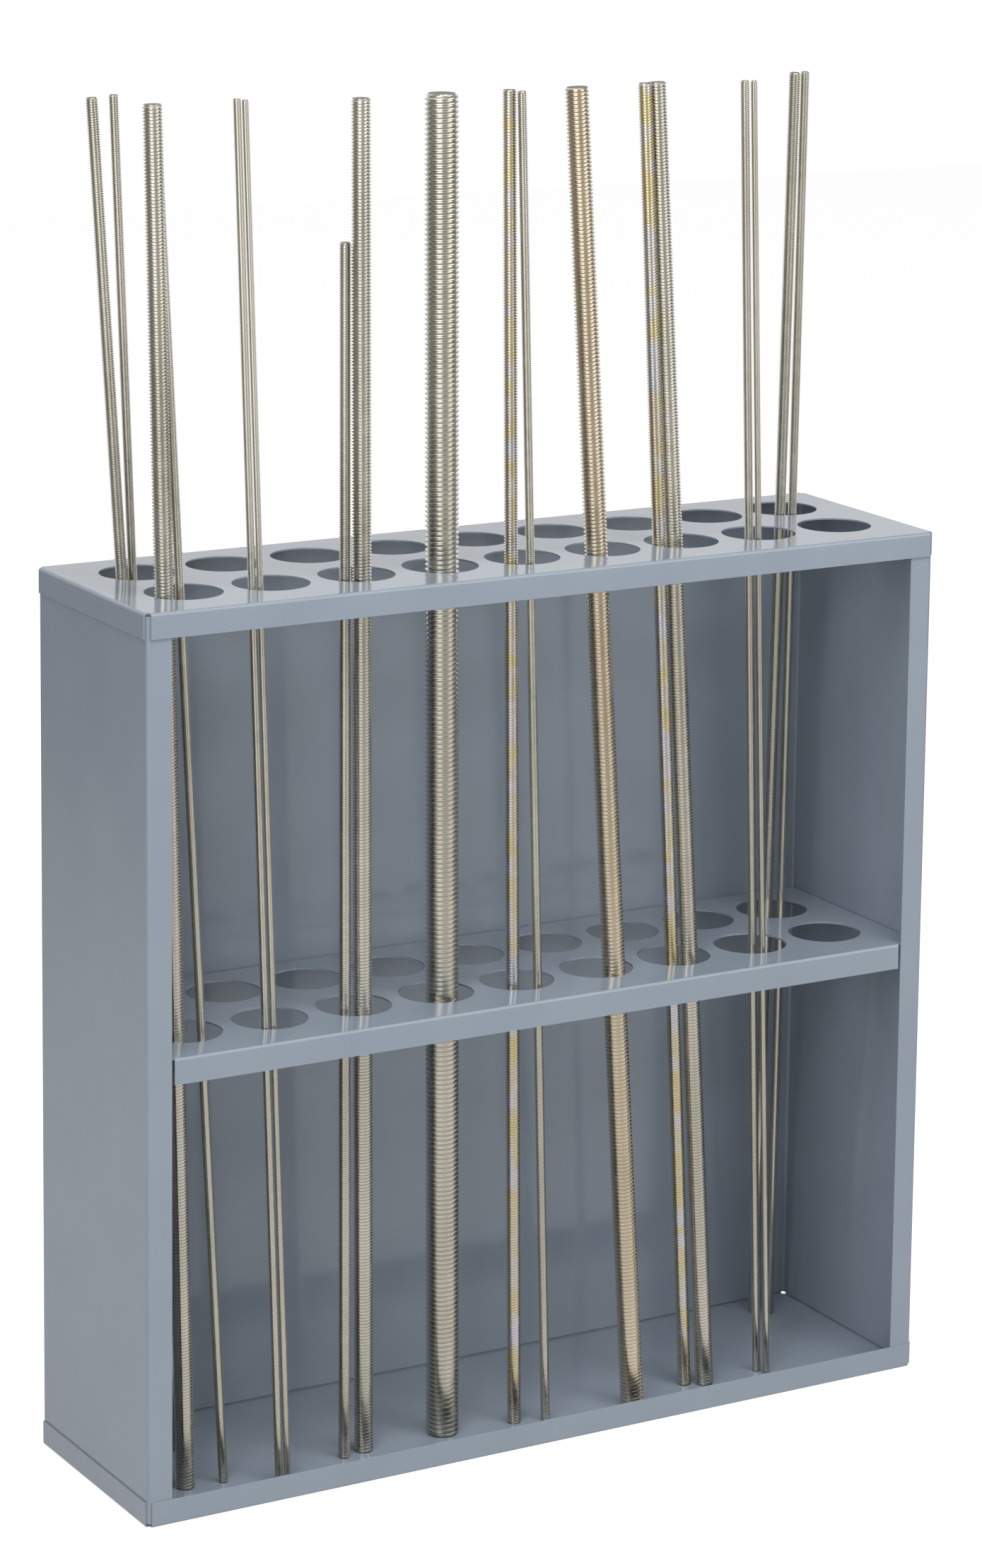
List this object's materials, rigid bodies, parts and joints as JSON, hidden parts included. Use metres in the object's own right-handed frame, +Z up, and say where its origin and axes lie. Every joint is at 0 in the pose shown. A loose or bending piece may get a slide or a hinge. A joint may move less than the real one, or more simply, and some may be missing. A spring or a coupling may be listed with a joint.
{
  "type": "threaded rod rack",
  "caption": "Open-fronted sheet-steel floor rack whose punched top and shelf hold loose lengths of threaded rod upright.",
  "frame": {"origin": "middle of the rack's underside", "axes": "+Z up, +X to the right seen from the front, +Y towards the back"},
  "size_m": [0.5968, 0.1664, 0.9161],
  "materials": {
    "rack_paint": "gloss",
    "zinc_plate": "bright",
    "yellow_zinc": "bright",
    "bronze_zinc": "bright"
  },
  "bodies": {
    "rack": {"top_tray": "rack_paint", "body_shell": "rack_paint", "middle_shelf": "rack_paint", "bottom_pan": "rack_paint"},
    "bar_back1_left": {"rod_back1_left": "zinc_plate"},
    "bar_front1_left": {"rod_front1_left": "zinc_plate"},
    "bar_front2_left": {"rod_front2_left": "zinc_plate"},
    "bar_front3_right": {"rod_front3_right": "zinc_plate"},
    "bar_front4": {"rod_front4": "zinc_plate"},
    "bar_front5_left": {"rod_front5_left": "yellow_zinc"},
    "bar_front6": {"rod_front6": "bronze_zinc"},
    "bar_front7_left": {"rod_front7_left": "yellow_zinc"},
    "bar_front8_left": {"rod_front8_left": "zinc_plate"},
    "bar_back9_left": {"rod_back9_left": "zinc_plate"},
    "bar_back1_right": {"rod_back1_right": "zinc_plate"},
    "bar_front1_right": {"rod_front1_right": "zinc_plate"},
    "bar_front2_right": {"rod_front2_right": "zinc_plate"},
    "bar_front3_left": {"rod_front3_left": "zinc_plate"},
    "bar_front5_right": {"rod_front5_right": "zinc_plate"},
    "bar_front7_right": {"rod_front7_right": "zinc_plate"},
    "bar_front8_right": {"rod_front8_right": "zinc_plate"},
    "bar_back9_right": {"rod_back9_right": "zinc_plate"}
  },
  "joints": [
    {"name": "lift_back1_left", "type": "slide", "parent": "rack", "child": "bar_back1_left", "axis": [-0.0649, -0.0014, 0.9979], "range_m": [0, 0.61]},
    {"name": "lift_front1_left", "type": "slide", "parent": "rack", "child": "bar_front1_left", "axis": [-0.0276, -0.0054, 0.9996], "range_m": [0, 0.61]},
    {"name": "lift_front2_left", "type": "slide", "parent": "rack", "child": "bar_front2_left", "axis": [-0.0235, 0.0252, 0.9994], "range_m": [0, 0.61]},
    {"name": "lift_front3_right", "type": "slide", "parent": "rack", "child": "bar_front3_right", "axis": [-0.0209, -0.0217, 0.9995], "range_m": [0, 0.61]},
    {"name": "lift_front4", "type": "slide", "parent": "rack", "child": "bar_front4", "axis": [-0.02, -0.016, 0.9997], "range_m": [0, 0.61]},
    {"name": "lift_front5_left", "type": "slide", "parent": "rack", "child": "bar_front5_left", "axis": [-0.0199, -0.0044, 0.9998], "range_m": [0, 0.61]},
    {"name": "lift_front6", "type": "slide", "parent": "rack", "child": "bar_front6", "axis": [-0.0558, 0.0155, 0.9983], "range_m": [0, 0.61]},
    {"name": "lift_front7_left", "type": "slide", "parent": "rack", "child": "bar_front7_left", "axis": [-0.0519, 0.0047, 0.9986], "range_m": [0, 0.61]},
    {"name": "lift_front8_left", "type": "slide", "parent": "rack", "child": "bar_front8_left", "axis": [-0.0398, -0.0085, 0.9992], "range_m": [0, 0.61]},
    {"name": "lift_back9_left", "type": "slide", "parent": "rack", "child": "bar_back9_left", "axis": [-0.0294, -0.0653, 0.9974], "range_m": [0, 0.61]},
    {"name": "lift_back1_right", "type": "slide", "parent": "rack", "child": "bar_back1_right", "axis": [-0.0437, -0.0071, 0.999], "range_m": [0, 0.61]},
    {"name": "lift_front1_right", "type": "slide", "parent": "rack", "child": "bar_front1_right", "axis": [-0.0489, 0.0075, 0.9988], "range_m": [0, 0.61]},
    {"name": "lift_front2_right", "type": "slide", "parent": "rack", "child": "bar_front2_right", "axis": [-0.0235, 0.0262, 0.9994], "range_m": [0, 0.61]},
    {"name": "lift_front3_left", "type": "slide", "parent": "rack", "child": "bar_front3_left", "axis": [-0.0086, -0.0059, 0.9999], "range_m": [0, 0.61]},
    {"name": "lift_front5_right", "type": "slide", "parent": "rack", "child": "bar_front5_right", "axis": [-0.0378, -0.0063, 0.9993], "range_m": [0, 0.61]},
    {"name": "lift_front7_right", "type": "slide", "parent": "rack", "child": "bar_front7_right", "axis": [-0.0538, 0.0145, 0.9984], "range_m": [0, 0.61]},
    {"name": "lift_front8_right", "type": "slide", "parent": "rack", "child": "bar_front8_right", "axis": [-0.0381, -0.0038, 0.9993], "range_m": [0, 0.61]},
    {"name": "lift_back9_right", "type": "slide", "parent": "rack", "child": "bar_back9_right", "axis": [-0.03, -0.0574, 0.9979], "range_m": [0, 0.61]}
  ]
}
